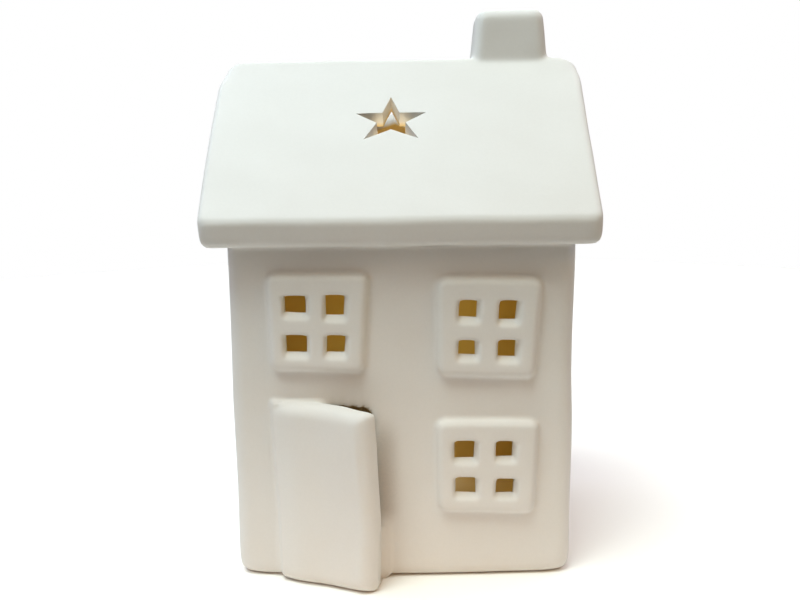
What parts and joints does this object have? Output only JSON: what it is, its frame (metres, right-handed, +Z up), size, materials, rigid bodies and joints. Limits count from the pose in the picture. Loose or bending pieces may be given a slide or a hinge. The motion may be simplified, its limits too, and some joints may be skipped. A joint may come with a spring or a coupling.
{
  "type": "tealight house",
  "caption": "White bisque porcelain house that holds a tealight: saddle roof with star cut-outs, raised windows, a door fixed ajar, a rear arch and a lift-out tealight.",
  "frame": {"origin": "on the table under the middle of the house body, on the underside of its floor", "axes": "+Z up, -Y the front with the door, +X to the right as seen from the front"},
  "size_m": [0.0968, 0.0867, 0.145],
  "materials": {
    "bisque": "matt unglazed white bisque porcelain, faint warm tone, soft edges",
    "cup_metal": "thin drawn aluminium with pressed pleats and a rolled rim",
    "tin": "stamped tin plate",
    "wax": "white paraffin wax, slightly waxy sheen",
    "wick_cotton": "waxed braided cotton"
  },
  "bodies": {
    "root": {"house_walls": "bisque", "base_floor": "bisque", "roof": "bisque", "chimney": "bisque", "upper_left_window": "bisque", "upper_right_window": "bisque", "lower_window": "bisque", "door_leaf": "bisque", "door_step": "bisque"},
    "tealight": {"tealight_cup": "cup_metal", "tealight_wax": "wax", "tealight_wick": "wick_cotton", "wick_sustainer": "tin"}
  },
  "joints": [
    {"name": "tealight_slide", "type": "slide", "parent": "root", "child": "tealight", "axis": [0, 1, 0], "range_m": [0, 0.07]}
  ]
}
